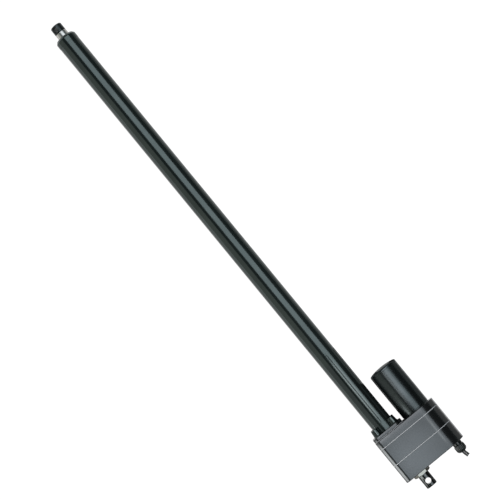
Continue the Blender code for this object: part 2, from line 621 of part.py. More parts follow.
def build_brushes():
    """A plate with a channel for each of the two brushes that press on the commutator."""
    plate_loops = [circle(MOTOR_AXIS, CAN_BORE - GAP, 32), circle(MOTOR_AXIS, 6.0, 12)]
    plate_loops.append(circle(LEAD_AXIS, 4.4, 12))
    plate = prism("brush_plate", NYLON, plate_loops, 145.0, 148.5)
    for name, side in (("tube_side", 1), ("outer_side", -1)):
        near, middle, far = (MOTOR_AXIS[0] + side * reach for reach in (9.3, 14.0, 21.0))
        low, high = (150.5, min(near, far), -3.0), (162.5, max(near, far), 3.0)
        block(f"{name}_brush", CARBON, low, high)
        for half in (-1, 1):
            low = (147.5, min(middle, far), min(half * 3.3, half * 5.5))
            high = (164.0, max(middle, far), max(half * 3.3, half * 5.5))
            change(plate, block(f"{name}_guide_{half}", NYLON, low, high), "UNION")


# ---------------------------------------------------------------- electrics


def core_route(side):
    """One core's way out of the cable's sheath, bent gently away from the thrust axis."""
    lean, bend_radius, bend_start, run = math.radians(15), 32.0, 14.0, 8.0
    y, z = GLAND_AXIS
    radius = bend_radius + side * CORE_AT
    route = [(bend_start + 8.0, y + side * CORE_AT, z)]
    for step in range(7):
        turn = lean * step / 6
        route.append((bend_start - radius * math.sin(turn), y - bend_radius + radius * math.cos(turn), z))
    bend_end, y, z = route[-1]
    route.append((bend_end - run * math.cos(lean), y - run * math.sin(lean), z))
    return route


def build_gland():
    """A cable gland: body with its thread in the rear cover, clamping nut and seal."""
    thread, neck, face = GLAND_THREAD_RADIUS, GLAND_NUT_END + GAP, REAR_FACE - GAP
    barrel, barrel_start, body_end = GLAND_BARREL_RADIUS, 19.5, 50.0
    body = [(body_end, thread), (face, thread), (face, GLAND_NECK_RADIUS), (neck, GLAND_NECK_RADIUS)]
    body += [(neck, barrel), (barrel_start, barrel), (barrel_start, GLAND_BORE), (body_end, GLAND_BORE)]
    turned("gland_body", NYLON, body, GLAND_AXIS, 24)
    start, end, radius = GLAND_NUT_START, GLAND_NUT_END, GLAND_NUT_RADIUS
    inner, inner_start = barrel + GAP, start + 2.7
    nut = [(end, radius), (start + 6.3, radius), (start + 3.0, radius - 1.4), (start + 1.0, radius - 3.8)]
    nut += [(start, radius - 5.8), (start, GLAND_BORE), (inner_start, GLAND_BORE)]
    nut += [(inner_start, inner), (end, inner)]
    turned("gland_nut", NYLON, nut, GLAND_AXIS, 24)
    seal_start, seal_end = inner_start + GAP, barrel_start - GAP
    ring("gland_seal", SEAL, seal_start, seal_end, SHEATH_RADIUS + GAP, barrel, GLAND_AXIS, 20)


def build_electrics():
    """The two-core cable, the control board on its standoffs, and the lead to the brushes."""
    sheath = [(GLAND_NUT_START + 1.0, 52.0, SHEATH_RADIUS)]
    cable = shaft("cable_stub", CABLE_JACKET, sheath, GLAND_AXIS)
    for side in (-1, 1):
        core = wire(f"cable_core_{side}", CABLE_JACKET, core_route(side), CORE_RADIUS)
        change(cable, core, "UNION")
    board = block("control_board", BOARD, (66.0, -100.0, -21.0), (67.6, -30.0, 21.0))
    for y in (-95.0, -35.0):
        for z in (-16.0, 16.0):
            join_column(board, 67.0, BULKHEAD_START - GAP, 2.5, (y, z), 12)
    relay_length = 16.0
    for y in (-72.0, -52.0):
        relay = block(f"relay_{y}", NYLON, (67.0, y, -18.0), (78.0, y + relay_length, -6.0))
        change(board, relay, "UNION")
    y, z = LEAD_AXIS
    route = [(67.9, y, z), (144.0, y, z), (150.0, y, z), (154.0, y + 2, z - 1)]
    wire("motor_lead", NYLON, route, 2.2)


# ---------------------------------------------------------------- moving bodies

MOVING = {
    "rod_carrier": (SCREW_AXIS, ("extension_tube", "ball_nut", "nut_guide", "front_adapter")),
    "screw_carrier": (
        SCREW_AXIS,
        (
            "ball_screw",
            "screw_end_bush",
            "rear_bearing_inner",
            "front_bearing_inner",
            "screw_lock_nut",
            "screw_gear",
            "brake_disc",
        ),
    ),
    "idler_carrier": (IDLER_AXIS, ("idler_gear", "idler_pinion")),
    "rotor_carrier": (
        MOTOR_AXIS,
        ("motor_shaft", "motor_pinion", "armature_core", "armature_windings", "commutator"),
    ),
}


def hang_on_axes():
    """Parents each moving piece to an empty on its joint's axis."""
    for name, (axis, pieces) in MOVING.items():
        carrier = bpy.data.objects.new(name, None)
        carrier.location = point_at(FRONT_FACE, *axis)
        parts.objects.link(carrier)
        for piece in pieces:
            made = parts.objects[piece]
            made.parent = carrier
            made.matrix_parent_inverse = Matrix.Translation(-carrier.location)


build_housing()
build_rear_adapter()
build_tube()
build_rod()
build_screw()
build_idler()
build_motor()
build_gland()
build_electrics()
hang_on_axes()
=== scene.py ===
"""Looks of the linear actuator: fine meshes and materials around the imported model."""

import json
import math

import bmesh
import bpy
from mathutils import Matrix, Vector


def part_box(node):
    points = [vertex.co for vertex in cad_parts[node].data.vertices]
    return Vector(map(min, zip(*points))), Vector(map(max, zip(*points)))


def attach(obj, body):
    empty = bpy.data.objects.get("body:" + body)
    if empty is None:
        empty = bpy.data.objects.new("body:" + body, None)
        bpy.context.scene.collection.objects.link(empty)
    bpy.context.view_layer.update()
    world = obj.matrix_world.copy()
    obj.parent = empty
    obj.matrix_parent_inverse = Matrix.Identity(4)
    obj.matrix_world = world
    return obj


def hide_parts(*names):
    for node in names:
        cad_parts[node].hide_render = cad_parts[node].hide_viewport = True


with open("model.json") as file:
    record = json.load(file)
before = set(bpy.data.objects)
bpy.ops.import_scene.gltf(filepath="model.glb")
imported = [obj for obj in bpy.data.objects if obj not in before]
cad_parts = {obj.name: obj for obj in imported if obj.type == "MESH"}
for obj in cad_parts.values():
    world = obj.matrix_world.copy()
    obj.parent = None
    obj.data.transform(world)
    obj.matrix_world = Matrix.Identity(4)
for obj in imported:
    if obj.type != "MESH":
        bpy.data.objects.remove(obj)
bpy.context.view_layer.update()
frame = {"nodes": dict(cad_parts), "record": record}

MM = 0.001
NODES = frame["nodes"]
RECORD = frame["record"]


# ---------------------------------------------------------------- measures from the frame


def low(node, side):
    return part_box(node)[0]["xyz".index(side)]


def high(node, side):
    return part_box(node)[1]["xyz".index(side)]


def middle(node):
    """The (y, z) point that a node's X axis runs through."""
    return tuple((low(node, side) + high(node, side)) / 2 for side in "yz")


THRUST_AXIS = (0.0, 0.0)
MOTOR_AXIS = middle("motor_can")
GLAND_AXIS = middle("gland_body")
HOUSING_HALF = high("gear_case", "z")
HOUSING_SIDE = high("gear_case", "y")
HOUSING_REAR = low("rear_cover", "x")
TUBE_RADIUS = high("cover_tube", "z")
ROD_RADIUS = high("extension_tube", "z")

# Measures that the nodes' boxes don't show.
GAP = 0.3 * MM
WALL = 4 * MM
CORNER = 10.8 * MM
CASTING_LIP = 0.35 * MM
SCREW_HOLE = 2.7 * MM
SCREW_HEAD_HOLE = 4.6 * MM
AXLE_HOLE = 4.3 * MM
LEAD_RADIUS = 2.2 * MM
LEAD_HOLE = 5 * MM
PIN_HOLE = 6.4 * MM
ADAPTER_STUD = 9 * MM
GLAND_THREAD = 8 * MM
GLAND_BARREL = 8.4 * MM
GLAND_BORE = 4.8 * MM
MOTOR_BORE = 30 * MM

SHARP_EDGE = 32
NOISE_SPAN = (0.3, 0.7)


# ---------------------------------------------------------------- materials


def new_material(name):
    material = bpy.data.materials.new(name)
    material.use_nodes = True
    return material, material.node_tree.nodes["Principled BSDF"]


def set_inputs(shader, values):
    for socket, value in values.items():
        shader.inputs[socket].default_value = value


def object_space(tree, scale):
    """Object coordinates, stretched by an (x, y, z) scale."""
    place = tree.nodes.new("ShaderNodeTexCoord")
    stretch = tree.nodes.new("ShaderNodeMapping")
    stretch.inputs["Scale"].default_value = scale
    tree.links.new(place.outputs["Object"], stretch.inputs["Vector"])
    return stretch.outputs["Vector"]


def noise(tree, scale, detail=3.0, stretch=(1, 1, 1)):
    texture = tree.nodes.new("ShaderNodeTexNoise")
    texture.inputs["Scale"].default_value = scale
    texture.inputs["Detail"].default_value = detail
    tree.links.new(object_space(tree, stretch), texture.inputs["Vector"])
    return texture.outputs["Fac"]


def between(tree, value, start, end, source=NOISE_SPAN):
    """Maps a texture's value from its usual span to the span from start to end."""
    spread = tree.nodes.new("ShaderNodeMapRange")
    for socket, number in zip(("From Min", "From Max", "To Min", "To Max"), (*source, start, end)):
        spread.inputs[socket].default_value = number
    tree.links.new(value, spread.inputs["Value"])
    return spread.outputs["Result"]


def tint(tree, value, dark, light):
    """Maps a texture's value from its usual span to colours from dark to light."""
    ramp = tree.nodes.new("ShaderNodeValToRGB")
    for element, position, color in zip(ramp.color_ramp.elements, NOISE_SPAN, (dark, light)):
        element.position = position
        element.color = (*color, 1)
    tree.links.new(value, ramp.inputs["Fac"])
    return ramp.outputs["Color"]


def bump(tree, shader, value, depth):
    """Gives the surface a relief of a depth in metres."""
    relief = tree.nodes.new("ShaderNodeBump")
    relief.inputs["Strength"].default_value = 1.0
    relief.inputs["Distance"].default_value = depth
    tree.links.new(value, relief.inputs["Height"])
    tree.links.new(relief.outputs["Normal"], shader.inputs["Normal"])


def surface(name, dark, light, rough, metallic, grain, patch=60, relief=0.0, stretch=(1, 1, 1), **more):
    """A material whose colour varies in patches, and whose gloss and relief follow a fine grain."""
    material, shader = new_material(name)
    tree = material.node_tree
    set_inputs(shader, {"Metallic": metallic, **more})
    patches = noise(tree, patch, 4.0)
    tree.links.new(tint(tree, patches, dark, light), shader.inputs["Base Color"])
    fine = noise(tree, grain, 3.0, stretch)
    tree.links.new(between(tree, fine, *rough), shader.inputs["Roughness"])
    if relief:
        bump(tree, shader, fine, relief)
    return material


def brighten_with_painted_light(material, centre, reach, gain):
    """Brightens a material's colour round an (x, y) point: a painted pool of light on the face."""
    tree = material.node_tree
    shader = tree.nodes["Principled BSDF"]
    place = tree.nodes.new("ShaderNodeTexCoord")
    stretch = tree.nodes.new("ShaderNodeMapping")
    stretch.inputs["Location"].default_value = (-centre[0] / reach, -centre[1] / reach, 0)
    stretch.inputs["Scale"].default_value = (1 / reach, 1 / reach, 0)
    glow = tree.nodes.new("ShaderNodeTexGradient")
    glow.gradient_type = "SPHERICAL"
    tree.links.new(place.outputs["Object"], stretch.inputs["Vector"])
    tree.links.new(stretch.outputs["Vector"], glow.inputs["Vector"])
    brighter = tree.nodes.new("ShaderNodeVectorMath")
    brighter.operation = "SCALE"
    color = tree.nodes["Color Ramp"].outputs["Color"]
    tree.links.new(color, brighter.inputs[0])
    tree.links.new(between(tree, glow.outputs["Fac"], 1.0, gain, (0.0, 1.0)), brighter.inputs["Scale"])
    tree.links.new(brighter.outputs["Vector"], shader.inputs["Base Color"])
    return material


def grey(value, warm=0.0):
    return (value * (1 + warm), value, value * (1 - warm))


MATERIALS = {
    "anodised": surface(
        "black_anodised_tube", (0.062, 0.076, 0.073), (0.073, 0.089, 0.085), (0.13, 0.19), 0.85,
        grain=1, patch=25, relief=0.0000015, stretch=(6, 2200, 2200),
    ),
    "motor_paint": surface(
        "gloss_black_motor_paint", (0.050, 0.059, 0.059), (0.058, 0.068, 0.069), (0.21, 0.27), 0.9,
        grain=700, patch=40, relief=0.000002, **{"Specular Tint": (0.65, 0.65, 0.65, 1)},
    ),
    "dome_paint": surface(
        "gloss_black_dome_paint", (0.060, 0.070, 0.072), (0.070, 0.081, 0.083), (0.2, 0.3), 1.0,
        grain=700, patch=40, relief=0.000002, **{"Specular Tint": (0.6, 0.6, 0.6, 1)},
    ),
    # The housing's face is painted brighter round a point: a painted highlight.
    "housing": brighten_with_painted_light(
        surface(
            "grey_anodised_housing", (0.066, 0.069, 0.070), (0.073, 0.077, 0.078), (0.19, 0.21), 0.85,
            grain=2600, patch=18, relief=0.0000003,
        ),
        centre=(0.068, 0.010), reach=0.092, gain=1.78,
    ),
    "flange_plate": surface(
        "grey_anodised_flange", (0.064, 0.067, 0.068), (0.074, 0.078, 0.079), (0.18, 0.22), 0.96,
        grain=2600, patch=18, relief=0.0000004,
    ),
    "boss": surface(
        "black_anodised_boss", (0.050, 0.062, 0.060), (0.072, 0.088, 0.084), (0.08, 0.12), 1.0,
        grain=900, patch=60, relief=0.0000005,
    ),
    "dull_steel": surface(
        "dull_plated_nut", (0.27, 0.27, 0.24), (0.37, 0.37, 0.33), (0.12, 0.2), 1.0,
        grain=1200, patch=160, relief=0.000003,
    ),
    "black_steel": surface(
        "blackened_steel", (0.052, 0.056, 0.055), (0.085, 0.092, 0.090), (0.10, 0.16), 0.9,
        grain=900, patch=160, relief=0.000002,
    ),
    "black_tip": surface(
        "blackened_tip", (0.008, 0.012, 0.012), (0.045, 0.055, 0.055), (0.2, 0.4), 0.7,
        grain=700, patch=320, relief=0.00002,
    ),
    "bright_steel": surface(
        "ground_chromed_steel", (0.50, 0.49, 0.47), (0.58, 0.57, 0.55), (0.26, 0.36), 1.0,
        grain=1, patch=30, relief=0.000001, stretch=(3500, 20, 20),
    ),
    "plated_steel": surface(
        "zinc_plated_steel", grey(0.50), grey(0.62), (0.24, 0.36), 1.0,
        grain=1500, patch=90, relief=0.000003,
    ),
    "bronze": surface(
        "bronze_bush", (0.48, 0.30, 0.12), (0.60, 0.40, 0.17), (0.28, 0.42), 1.0,
        grain=1200, relief=0.000003,
    ),
    "copper": surface(
        "enamelled_copper", (0.50, 0.17, 0.06), (0.66, 0.27, 0.10), (0.25, 0.4), 0.9,
        grain=1, relief=0.00003, stretch=(2500, 60, 60),
    ),
    "lamination": surface(
        "stacked_laminations", grey(0.20), grey(0.32), (0.4, 0.6), 0.9,
        grain=1, relief=0.00003, stretch=(2500, 10, 10),
    ),
    "magnet": surface("ferrite_magnet", grey(0.05), grey(0.08), (0.5, 0.7), 0.1, grain=1800, relief=0.00001),
    "carbon": surface(
        "carbon_brush", grey(0.025), grey(0.045), (0.45, 0.65), 0.2,
        grain=2500, relief=0.000008,
    ),
    "nylon": surface(
        "black_moulded_nylon", (0.008, 0.012, 0.011), (0.014, 0.020, 0.018), (0.10, 0.16), 0.0,
        grain=2200, patch=150, relief=0.000001,
    ),
    "acetal": surface("white_acetal", grey(0.70, 0.02), grey(0.80, 0.02), (0.35, 0.5), 0.0, grain=1200),
    "seal": surface("seal_rubber", grey(0.014), grey(0.024), (0.6, 0.8), 0.0, grain=2500, relief=0.00001),
    "gasket": surface(
        "gasket_sheet", grey(0.50), grey(0.56), (0.5, 0.6), 0.0,
        grain=1800, relief=0.000002,
    ),
    "cable_jacket": surface(
        "cable_jacket", (0.008, 0.011, 0.010), (0.014, 0.018, 0.017), (0.3, 0.45), 0.0,
        grain=1600, patch=200, relief=0.000004,
    ),
    "circuit_board": surface(
        "circuit_board", (0.01, 0.11, 0.04), (0.02, 0.18, 0.07), (0.3, 0.45), 0.0,
        grain=900, patch=500, relief=0.00001,
    ),
}


# ---------------------------------------------------------------- mesh helpers


def finished(name, node, body, slot, mesh, look=None):
    """Adds a piece that stands for a CAD node and rides on its body. Its look is its slot's, or its own."""
    mesh.materials.append(MATERIALS[look or slot])
    piece = bpy.data.objects.new(name, mesh)
    bpy.context.scene.collection.objects.link(piece)
    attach(piece, body)
    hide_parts(node)
    return piece


def clean(solid, name, sharp=SHARP_EDGE):
    """Turns a bmesh into a mesh with outward faces, smooth except at its sharp edges."""
    bmesh.ops.remove_doubles(solid, verts=solid.verts, dist=0.0000005)
    bmesh.ops.recalc_face_normals(solid, faces=solid.faces)
    mesh = bpy.data.meshes.new(name)
    solid.to_mesh(mesh)
    solid.free()
    mesh.shade_smooth()
    mesh.set_sharp_from_angle(angle=math.radians(sharp))
    return mesh


def filleted(corners, steps=5):
    """Rounds a line of (station, radius, fillet) corners. A corner with no fillet stays sharp."""
    points = []
    for i, (x, r, fillet) in enumerate(corners):
        before, after = corners[i - 1], corners[(i + 1) % len(corners)]
        if not fillet:
            points.append((x, r))
            continue
        here = Vector((x, r))
        back, ahead = Vector(before[:2]) - here, Vector(after[:2]) - here
        half = back.angle(ahead) / 2
        reach = fillet / math.tan(half)
        centre = here + (back.normalized() + ahead.normalized()).normalized() * fillet / math.sin(half)
        start = here + back.normalized() * reach - centre
        end = here + ahead.normalized() * reach - centre
        turn = start.angle_signed(end)
        for step in range(steps + 1):
            spoke = start.copy()
            spoke.rotate(Matrix.Rotation(-turn * step / steps, 2))
            points.append(tuple(centre + spoke))
    return points


def revolve(name, outline, axis=THRUST_AXIS, segments=96, ring=True):
    """Turns an outline of (station, radius) points about an X axis. A ring's outline is a closed loop."""
    solid = bmesh.new()
    rows = []
    for x, r in outline:
        if r < 1e-7:
            rows.append([solid.verts.new((x, *axis))] * segments)
            continue
        row = []
        for i in range(segments):
            turn = 2 * math.pi * i / segments
            row.append(solid.verts.new((x, axis[0] + r * math.cos(turn), axis[1] + r * math.sin(turn))))
        rows.append(row)
    pairs = list(zip(rows, rows[1:]))
    if ring:
        pairs.append((rows[-1], rows[0]))
    for first, second in pairs:
        for i in range(segments):
            j = (i + 1) % segments
            corners = list(dict.fromkeys((first[i], first[j], second[j], second[i])))
            if len(corners) > 2:
                solid.faces.new(corners)
    return clean(solid, name)


def loft(name, rings, sharp=SHARP_EDGE):
    """Joins rings of equally many points, and closes both ends."""
    solid = bmesh.new()
    rows = [[solid.verts.new(point) for point in ring] for ring in rings]
    count = len(rows[0])
    for first, second in zip(rows, rows[1:]):
        for i in range(count):
            j = (i + 1) % count
            solid.faces.new((first[i], first[j], second[j], second[i]))
    solid.faces.new(rows[0])
    solid.faces.new(rows[-1])
    return clean(solid, name, sharp)


def arc(centre, radius, start, end, steps):
    """Points on an arc between two angles in degrees."""
    angles = [math.radians(start + (end - start) * i / steps) for i in range(steps + 1)]
    return [(centre[0] + radius * math.cos(a), centre[1] + radius * math.sin(a)) for a in angles]


def housing_ring(x, inset):
    """The housing's outline at a station, drawn in by inset: round at the motor, square beside the tube."""
    corner_at = HOUSING_SIDE - CORNER, HOUSING_HALF - CORNER
    points = arc(MOTOR_AXIS, HOUSING_HALF - inset, 90, 270, 72)
    points += arc((corner_at[0], -corner_at[1]), CORNER - inset, 270, 360, 14)
    points += arc(corner_at, CORNER - inset, 0, 90, 14)
    return [(x, y, z) for y, z in points]


def flange_ring(x, inset):
    """The tube flange's outline: chamfered towards the motor, rounded away from it."""
    half, chamfer = high("tube_flange", "y"), 14 * MM
    cut = chamfer - half - inset * math.tan(math.radians(22.5)) + inset
    side, corner_at = half - inset, half - CORNER
    points = [(cut, side), (-side, -cut), (-side, cut), (cut, -side)]
    points += arc((corner_at, -corner_at), CORNER - inset, 270, 360, 14)
    points += arc((corner_at, corner_at), CORNER - inset, 0, 90, 14)
    return [(x, y, z) for y, z in points]


def rolled_edge(x, radius, direction, steps=5):
    """Stations and insets of a rounded edge, from the face at x to the side along X."""
    turns = [math.pi / 2 * step / steps for step in range(steps + 1)]
    return [
        (x + direction * radius * (1 - math.cos(turn)), radius * (1 - math.sin(turn)))
        for turn in turns
    ]


def carve(piece, tool, operation="DIFFERENCE"):
    """Cuts a tool mesh from a piece, or joins it on."""
    helper = bpy.data.objects.new("tool", tool)
    bpy.context.scene.collection.objects.link(helper)
    modifier = piece.modifiers.new("carve", "BOOLEAN")
    modifier.operation = operation
    modifier.object = helper
    modifier.solver = "EXACT"
    graph = bpy.context.evaluated_depsgraph_get()
    mesh = bpy.data.meshes.new_from_object(piece.evaluated_get(graph))
    piece.modifiers.clear()
    piece.data = mesh
    bpy.data.objects.remove(helper)


def resharpen(piece, sharp=SHARP_EDGE):
    """Shades a piece smooth again after it was carved, except at its sharp edges."""
    piece.data.shade_smooth()
    piece.data.set_sharp_from_angle(angle=math.radians(sharp))


def hole(start, end, radius, axis, segments=40):
    """A drill along X."""
    outline = [(start, 0), (start, radius), (end, radius), (end, 0)]
    return revolve("drill", outline, axis, segments, ring=False)


# ---------------------------------------------------------------- gear housing

CASE_SCREWS = [middle(f"case_screw_{i}") for i in range(1, 5)]
FLANGE_SCREWS = [middle(f"flange_screw_{i}") for i in range(1, 5)]


def case_shell(node, stations):
    """One of the housing's castings, from its (station, inset) outline."""
    name = f"{node}_casting"
    mesh = loft(name, [housing_ring(x, inset) for x, inset in stations])
    return finished(name, node, "housing", "housing", mesh)


def make_rear_cover():
    """A deep cover with a rounded rear edge, and a counterbore over each case screw."""
    start, end = low("rear_cover", "x"), high("rear_cover", "x")
    edge, floor, head_seat = 1.6 * MM, 6 * MM, 5.7 * MM
    stations = rolled_edge(start, edge, 1)
    stations += [(end - CASTING_LIP, 0), (end, CASTING_LIP), (end, WALL), (start + floor, WALL)]
    cover = case_shell("rear_cover", stations)
    for centre in CASE_SCREWS:
        carve(cover, hole(start - MM, start + head_seat, SCREW_HEAD_HOLE, centre))
        carve(cover, hole(start, end, SCREW_HOLE, centre, 24))
    carve(cover, hole(start - MM, start + 2 * floor, ADAPTER_STUD + GAP, THRUST_AXIS))
    carve(cover, hole(start - MM, start + 2 * floor, GLAND_THREAD + GAP, GLAND_AXIS))
    resharpen(cover)


def make_gear_case():
    """The middle casting, with a bulkhead for the screw's rear bearing, the idler axle and the lead."""
    start, end = low("gear_case", "x"), high("gear_case", "x")
    bulkhead, nut_hole, bearing_seat = 12 * MM, 9.2 * MM, 16.3 * MM
    bearing_floor, axle_floor = 2.2 * MM, 3 * MM
    stations = [(start, CASTING_LIP), (start + CASTING_LIP, 0), (end - CASTING_LIP, 0), (end, CASTING_LIP)]
    stations += [(end, WALL), (start + bulkhead, WALL)]
    case = case_shell("gear_case", stations)
    for centre in CASE_SCREWS:
        carve(case, hole(start - MM, end, SCREW_HOLE, centre, 24))
    through = start + bulkhead + MM
    carve(case, hole(start - MM, start + axle_floor, nut_hole, THRUST_AXIS))
    carve(case, hole(start + bearing_floor, through, bearing_seat, THRUST_AXIS))
    carve(case, hole(start + axle_floor, through, AXLE_HOLE, middle("idler_axle")))
    carve(case, hole(start - MM, through, LEAD_HOLE, middle_of_lead()))
    resharpen(case)


def middle_of_lead():
    """Where the straight run of the motor lead passes through the castings."""
    return low("motor_lead", "y") + LEAD_RADIUS, high("motor_lead", "z") - LEAD_RADIUS


def make_front_cover():
    """A cover with a rounded front edge, and a thick plate that seats the front bearings."""
    start, end = low("front_cover", "x"), high("front_cover", "x")
    edge, plate = 1.2 * MM, 11 * MM
    bearing_seat, bearing_floor, screw_hole = 20.3 * MM, 1.7 * MM, 12 * MM
    motor_seat, motor_floor, shaft_hole, axle_floor = 11.3 * MM, 2.7 * MM, 6 * MM, 4.5 * MM
    stations = [(end - plate, WALL), (start, WALL), (start, CASTING_LIP), (start + CASTING_LIP, 0)]
    stations += rolled_edge(end, edge, -1)[::-1]
    cover = case_shell("front_cover", stations)
    inside = end - plate - MM
    carve(cover, hole(inside, end - bearing_floor, bearing_seat, THRUST_AXIS, 64))
    carve(cover, hole(end - plate, end + MM, screw_hole, THRUST_AXIS))
    carve(cover, hole(inside, end - motor_floor, motor_seat, MOTOR_AXIS, 48))
    carve(cover, hole(end - plate, end + MM, shaft_hole, MOTOR_AXIS))
    carve(cover, hole(inside, end - axle_floor, AXLE_HOLE, middle("idler_axle")))
    carve(cover, hole(inside, end + MM, LEAD_HOLE, middle_of_lead()))
    resharpen(cover)


def make_gasket(node):
    """A thin gasket, squeezed out into the grooves along the castings' edges."""
    start, end = low(node, "x"), high(node, "x")
    lip, shy, rise = 0.2 * MM, 0.38 * MM, 0.16 * MM
    stations = [(start, shy), (start - lip, rise), (end + lip, rise), (end, shy)]
    outer = [housing_ring(x, inset) for x, inset in stations]
    gasket = finished(f"{node}_sheet", node, "housing", "gasket", loft(node, outer))
    carve(gasket, loft("opening", [housing_ring(x, WALL) for x in (start - MM, end + MM)]))
    resharpen(gasket)


def socket_screw(name, node, head_side):
    """A socket head screw with a hexagon socket. The head is at its high X end if head_side is 1."""
    axis = middle(node)
    head_length, head, shank, taper = 5 * MM, high(node, "y") - axis[0], 2.4 * MM, 0.6 * MM
    key_depth, key_radius = 2.6 * MM, 2.3 * MM
    tip, top = (low(node, "x"), high(node, "x"))[::head_side]
    under = top - head_side * head_length
    corners = [(top, 0, 0), (top, head, 0.5 * MM), (under, head, 0.1 * MM), (under, shank, 0)]
    corners += [(tip + head_side * taper, shank, 0), (tip, shank - taper, 0), (tip, 0, 0)]
    mesh = revolve(name, filleted(corners, 3), axis, 48, ring=False)
    screw = finished(name, node, "housing", "plated_steel", mesh)
    first, last = sorted((top - head_side * key_depth, top + head_side * MM))
    carve(screw, hole(first, last, key_radius, axis, 6))
    resharpen(screw)


def make_flange():
    """The square tube flange, with a tapered black boss over each of its screws."""
    start, top = low("tube_flange", "x"), high("tube_flange", "x")
    plate, lip, edge, head_depth = 7 * MM, 0.3 * MM, 0.8 * MM, 6.5 * MM
    plate_end, tube_hole = start + plate, TUBE_RADIUS + 0.15 * MM
    stations = [(start, lip), (start + lip, 0), *rolled_edge(plate_end, edge, -1)[::-1]]
    name = "tube_flange_casting"
    mesh = loft(name, [flange_ring(x, inset) for x, inset in stations])
    pieces = [finished(name, "tube_flange", "housing", "anodised", mesh, "flange_plate")]
    boss_at, foot, crown, fillet = 21.5 * MM, 9.8 * MM, 8 * MM, 1.6 * MM
    for i, (y, z) in enumerate((y, z) for y in (-boss_at, boss_at) for z in (-boss_at, boss_at)):
        name = f"flange_boss_{i + 1}"
        corners = [(top, 0, 0), (top, crown, edge), (plate_end + fillet, foot - 0.2 * MM, 3 * MM)]
        corners += [(plate_end, foot + fillet, 0), (plate_end, 0, 0)]
        mesh = revolve(name, filleted(corners, 4), (y, z), 48, ring=False)
        pieces.append(finished(name, "tube_flange", "housing", "anodised", mesh, "boss"))
    for piece in pieces:
        carve(piece, hole(start - MM, top + MM, tube_hole, THRUST_AXIS, 96))
        for centre in FLANGE_SCREWS:
            carve(piece, hole(top - head_depth, top + MM, SCREW_HEAD_HOLE, centre))
            carve(piece, hole(start - MM, top, SCREW_HOLE, centre, 24))
        resharpen(piece)


def make_housing():
    make_rear_cover()
    make_gear_case()
    make_front_cover()
    make_gasket("rear_gasket")
    make_gasket("front_gasket")
    make_flange()
    for number in range(1, 5):
        socket_screw(f"case_cap_screw_{number}", f"case_screw_{number}", -1)
        socket_screw(f"flange_cap_screw_{number}", f"flange_screw_{number}", 1)


# ---------------------------------------------------------------- adapters


def cross_drill(station, radius, reach, lean):
    """A drill through a bar at a station, that leans by an angle from Z towards +Y."""
    tool = hole(-2 * reach, 2 * reach, radius, THRUST_AXIS, 64)
    turn = Matrix.Rotation(-lean, 4, "X") @ Matrix.Rotation(math.radians(90), 4, "Y")
    tool.transform(Matrix.Translation((station, 0, 0)) @ turn)
    return tool


def make_rear_adapter():
    """A round bar with a pin hole through it and a stud into the rear cover."""
    reach, pin_at = high("rear_adapter", "z"), 14.3 * MM
    shoulder, end = low("rear_jam_nut", "x") - GAP, high("rear_adapter", "x")
    corners = [(0, 0, 0), (0, reach, 1.9 * MM), (shoulder, reach, 0.4 * MM), (shoulder, ADAPTER_STUD, 0)]
    corners += [(end, ADAPTER_STUD, 0.8 * MM), (end, 0, 0)]
    mesh = revolve("rear_adapter_bar", filleted(corners), ring=False)
    rear = finished("rear_adapter_bar", "rear_adapter", "housing", "black_steel", mesh)
    carve(rear, cross_drill(pin_at, PIN_HOLE, reach, 0.0))
    resharpen(rear)


def make_front_adapter():
    """A round tip on the rod, with a plug in its bore. The pin hole is turned from the viewer."""
    start, tip = low("front_adapter", "x"), high("front_adapter", "x")
    reach, plug, plug_end = high("front_adapter", "z"), 10.7 * MM, start + 30.3 * MM
    pin_at, pin_lean = tip - 10.3 * MM, math.radians(30)
    corners = [(start, 0, 0), (start, plug, 0), (plug_end, plug, 0), (plug_end, reach, 0.5 * MM)]
    corners += [(tip, reach, 3.2 * MM), (tip, 0, 0)]
    mesh = revolve("front_adapter_bar", filleted(corners, 8), ring=False)
    front = finished("front_adapter_bar", "front_adapter", "rod", "black_steel", mesh, "black_tip")
    carve(front, cross_drill(pin_at, PIN_HOLE, reach, pin_lean))
    resharpen(front)


def make_jam_nut():
    """A hexagon nut with turned-off corners, cut from a round blank."""
    first, last = low("rear_jam_nut", "x"), high("rear_jam_nut", "x")
    corner, flat, bore = high("rear_jam_nut", "y"), high("rear_jam_nut", "z"), ADAPTER_STUD + GAP
    outline = [(last, corner - 0.6 * MM), (last - 0.4 * MM, corner), (first + 1.6 * MM, corner)]
    outline += [(first, flat - 0.2 * MM), (first, bore), (last, bore)]
    name = "rear_jam_nut_hexagon"
    nut = finished(name, "rear_jam_nut", "housing", "plated_steel", revolve(name, outline), "dull_steel")
    carve(nut, hole(first - MM, last + MM, corner, THRUST_AXIS, 6), "INTERSECT")
    resharpen(nut, 20)


# ---------------------------------------------------------------- thrust tube and rod


def make_tube():
    """The long tube. It laps all but the last of the gap to its nose, so the seam hardly shows."""
    start, bore, lap = low("cover_tube", "x"), 21 * MM, high("cover_tube", "x") + 0.24 * MM
    corners = [(lap, TUBE_RADIUS, 0.1 * MM), (start, TUBE_RADIUS, 0), (start, bore, 0), (lap, bore, 0)]
    mesh = revolve("thrust_tube", filleted(corners), segments=128)
    finished("thrust_tube", "cover_tube", "housing", "anodised", mesh)


